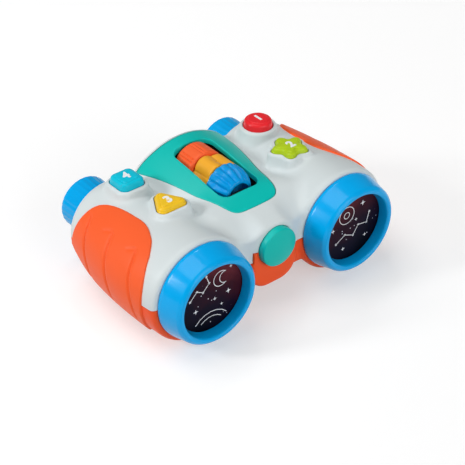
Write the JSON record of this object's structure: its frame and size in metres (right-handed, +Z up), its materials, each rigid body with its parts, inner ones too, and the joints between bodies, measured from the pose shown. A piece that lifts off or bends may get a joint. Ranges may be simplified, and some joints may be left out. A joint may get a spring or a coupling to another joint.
{
  "type": "toy binoculars",
  "caption": "Chunky child's play binoculars with shaped press buttons, spinning rollers on the bridge and picture lenses lit from behind; stands on its barrels.",
  "frame": {"origin": "on the surface that the barrels stand on, under the middle of the whole object", "axes": "+Y from the picture lenses to the eyecups, +X to the right as seen by someone facing the picture lenses, +Z up"},
  "size_m": [0.1848, 0.134, 0.0738],
  "materials": {
    "white_shell": "satin moulding, cool white",
    "orange_shell": "satin moulding, orange red",
    "mint_trim": "satin moulding, mint",
    "blue_trim": "gloss moulding, sky blue",
    "lens_print": "printed clear plastic, night sky",
    "reflector_white": "white moulding",
    "clear_plastic": "clear polystyrene",
    "circuit_board": "green circuit board",
    "dark_plastic": "black moulding",
    "grey_plastic": "grey moulding",
    "battery_jacket": "plain grey jacket",
    "steel": "plated",
    "red_button": "gloss moulding, red",
    "green_button": "gloss moulding, lime green",
    "teal_button": "gloss moulding, aqua",
    "yellow_button": "gloss moulding, warm yellow",
    "blue_roller": "gloss moulding, blue",
    "yellow_roller": "gloss moulding, amber",
    "orange_roller": "gloss moulding, orange",
    "switch_knob": "black moulding"
  },
  "bodies": {
    "housing": {"upper_shell": "white_shell", "lower_shell": "orange_shell", "left_side_grip": "orange_shell", "right_side_grip": "orange_shell", "battery_door": "orange_shell", "top_panel": "mint_trim", "nose_cap": "mint_trim", "left_lens_ring": "blue_trim", "right_lens_ring": "blue_trim", "left_eyecup": "blue_trim", "right_eyecup": "blue_trim", "left_lens_disc": "lens_print", "right_lens_disc": "lens_print", "left_reflector": "reflector_white", "right_reflector": "reflector_white", "left_light_board": "circuit_board", "right_light_board": "circuit_board", "left_lamp": "clear_plastic", "right_lamp": "clear_plastic", "left_eyepiece_lens": "clear_plastic", "right_eyepiece_lens": "clear_plastic", "round_button_switch": "dark_plastic", "star_button_switch": "dark_plastic", "square_button_switch": "dark_plastic", "triangle_button_switch": "dark_plastic", "left_button_board": "circuit_board", "right_button_board": "circuit_board", "roller_axle": "steel", "roller_cradle": "grey_plastic", "battery_tray": "dark_plastic", "left_battery": "battery_jacket", "right_battery": "battery_jacket", "front_contact": "steel", "rear_contact": "steel", "battery_door_screw": "steel", "main_circuit_board": "circuit_board", "power_switch_body": "dark_plastic", "speaker": "dark_plastic", "front_left_case_screw": "steel", "front_right_case_screw": "steel", "rear_left_case_screw": "steel", "rear_right_case_screw": "steel"},
    "round_button": {"round_button": "red_button"},
    "star_button": {"star_button": "green_button"},
    "square_button": {"square_button": "teal_button"},
    "triangle_button": {"triangle_button": "yellow_button"},
    "wavy_roller": {"wavy_roller": "blue_roller"},
    "lobed_roller": {"lobed_roller": "yellow_roller"},
    "ribbed_roller": {"ribbed_roller": "orange_roller"},
    "power_switch_knob": {"power_switch_knob": "switch_knob"}
  },
  "joints": [
    {"name": "round_button_press", "type": "slide", "parent": "housing", "child": "round_button", "axis": [0, 0, -1], "range_m": [0, 0.002], "stiffness_N_per_m": 400, "springref_m": -0.001},
    {"name": "star_button_press", "type": "slide", "parent": "housing", "child": "star_button", "axis": [0, 0, -1], "range_m": [0, 0.002], "stiffness_N_per_m": 400, "springref_m": -0.001},
    {"name": "square_button_press", "type": "slide", "parent": "housing", "child": "square_button", "axis": [0, 0, -1], "range_m": [0, 0.002], "stiffness_N_per_m": 400, "springref_m": -0.001},
    {"name": "triangle_button_press", "type": "slide", "parent": "housing", "child": "triangle_button", "axis": [0, 0, -1], "range_m": [0, 0.002], "stiffness_N_per_m": 400, "springref_m": -0.001},
    {"name": "wavy_roller_spin", "type": "hinge", "parent": "housing", "child": "wavy_roller", "pos_m": [0, -0.0113, 0.0597], "axis": [0, 1, 0], "continuous": true},
    {"name": "lobed_roller_spin", "type": "hinge", "parent": "housing", "child": "lobed_roller", "pos_m": [0, 0.0045, 0.0597], "axis": [0, 1, 0], "continuous": true},
    {"name": "ribbed_roller_spin", "type": "hinge", "parent": "housing", "child": "ribbed_roller", "pos_m": [0, 0.0203, 0.0597], "axis": [0, 1, 0], "continuous": true},
    {"name": "power_switch_slide", "type": "slide", "parent": "housing", "child": "power_switch_knob", "axis": [1, 0, 0], "range_m": [0, 0.005]}
  ]
}
